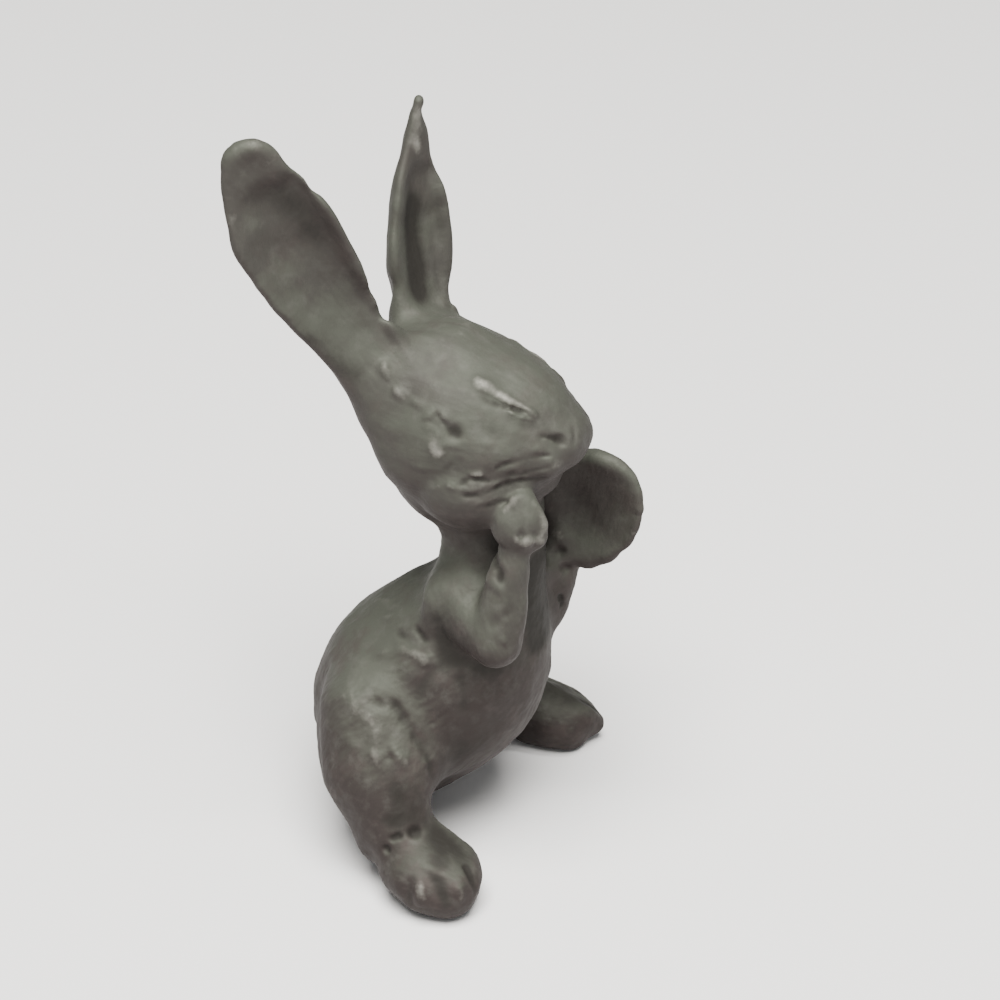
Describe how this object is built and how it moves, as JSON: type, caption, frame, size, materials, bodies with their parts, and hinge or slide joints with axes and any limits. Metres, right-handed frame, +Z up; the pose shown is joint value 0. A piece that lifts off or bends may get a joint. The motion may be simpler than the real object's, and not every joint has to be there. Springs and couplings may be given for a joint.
{
  "type": "rabbit figurine",
  "caption": "Small cast pewter rabbit that sits up on its haunches, with tall ears and its forepaws raised to its mouth.",
  "frame": {"origin": "on the table, under the middle of the figure's box", "axes": "+Z up, -Y the way the rabbit looks, +X its left side"},
  "size_m": [0.0372, 0.0316, 0.0689],
  "materials": {
    "pewter": "dull aged pewter with dark patina in the hollows"
  },
  "bodies": {
    "root": {"trunk": "pewter", "head": "pewter", "tail": "pewter", "right_ear": "pewter", "right_foreleg": "pewter", "right_forepaw": "pewter", "right_hind_leg": "pewter", "right_hind_foot": "pewter", "left_ear": "pewter", "left_foreleg": "pewter", "left_forepaw": "pewter", "left_hind_leg": "pewter", "left_hind_foot": "pewter"}
  },
  "joints": []
}
